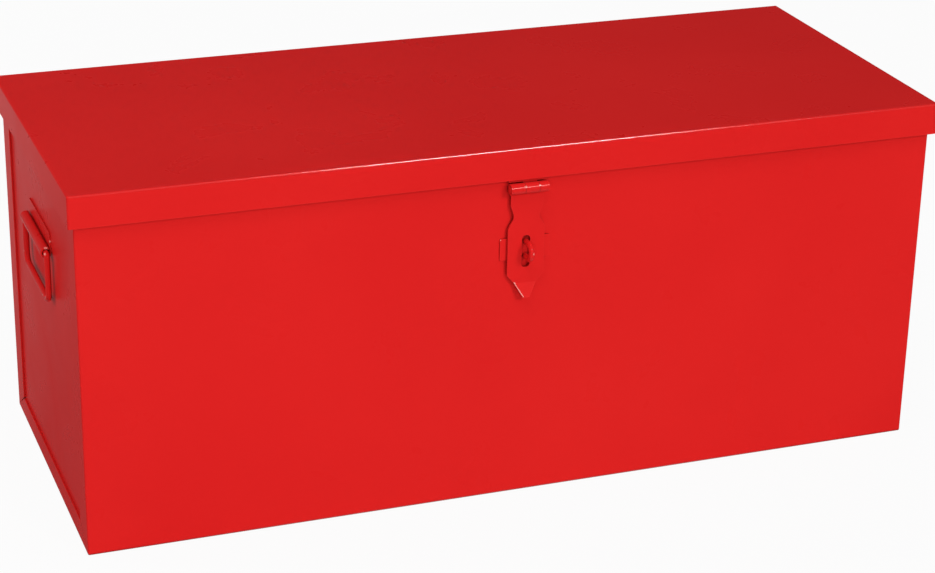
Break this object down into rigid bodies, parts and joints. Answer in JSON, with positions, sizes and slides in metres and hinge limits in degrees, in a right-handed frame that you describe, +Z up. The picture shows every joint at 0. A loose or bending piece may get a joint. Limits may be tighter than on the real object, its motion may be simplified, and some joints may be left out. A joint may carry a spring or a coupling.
{
  "type": "jobsite box",
  "caption": "Long sheet steel site box with a rear hinged lid, recessed ends, drop ring handles and a hasp closing over a padlock staple; stores and locks away tools.",
  "frame": {"origin": "middle of the floor's underside", "axes": "+X along the front to its right-hand end, -Y out of the front with the hasp, +Z up"},
  "size_m": [0.8352, 0.3584, 0.345],
  "materials": {
    "red_paint": "glossy sprayed red enamel",
    "zinc_steel": "bright zinc plate"
  },
  "bodies": {
    "box_body": {"body_wrap": "red_paint", "left_end_panel": "red_paint", "right_end_panel": "red_paint", "left_hinge_body_leaf": "red_paint", "right_hinge_body_leaf": "red_paint", "left_hinge_pin": "zinc_steel", "right_hinge_pin": "zinc_steel", "hinge_body_rivets": "red_paint", "staple_plate": "red_paint", "staple_loop": "red_paint", "left_handle_bracket": "red_paint", "right_handle_bracket": "red_paint", "stay_stud": "zinc_steel"},
    "lid": {"lid_shell": "red_paint", "left_hinge_lid_leaf": "red_paint", "right_hinge_lid_leaf": "red_paint", "hinge_lid_rivets": "red_paint", "hasp_leaf": "red_paint", "hasp_pin": "red_paint", "stay_lid_bracket": "zinc_steel", "stay_pivot_rivet": "zinc_steel"},
    "hasp": {"hasp_strap": "red_paint"},
    "left_handle": {"left_handle_ring": "red_paint"},
    "right_handle": {"right_handle_ring": "red_paint"},
    "stay": {"stay_arm": "zinc_steel"}
  },
  "joints": [
    {"name": "lid_hinge", "type": "hinge", "parent": "box_body", "child": "lid", "pos_m": [0, 0.168, 0.3105], "axis": [-1, 0, 0], "range_deg": [0, 100]},
    {"name": "stay_pivot", "type": "hinge", "parent": "lid", "child": "stay", "pos_m": [0.39925, 0.03, 0.332], "axis": [-1, 0, 0], "range_deg": [-50, 0]},
    {"name": "hasp_hinge", "type": "hinge", "parent": "lid", "child": "hasp", "pos_m": [0, -0.17199, 0.3076], "axis": [-1, 0, 0], "range_deg": [0, 175]},
    {"name": "left_handle_hinge", "type": "hinge", "parent": "box_body", "child": "left_handle", "pos_m": [-0.41255, 0, 0.247], "axis": [0, 1, 0], "range_deg": [0, 175]},
    {"name": "right_handle_hinge", "type": "hinge", "parent": "box_body", "child": "right_handle", "pos_m": [0.41255, 0, 0.247], "axis": [0, -1, 0], "range_deg": [0, 175]}
  ],
  "couplings": [
    {"joint": "stay_pivot", "follows": "lid_hinge", "ratio": -0.5}
  ]
}
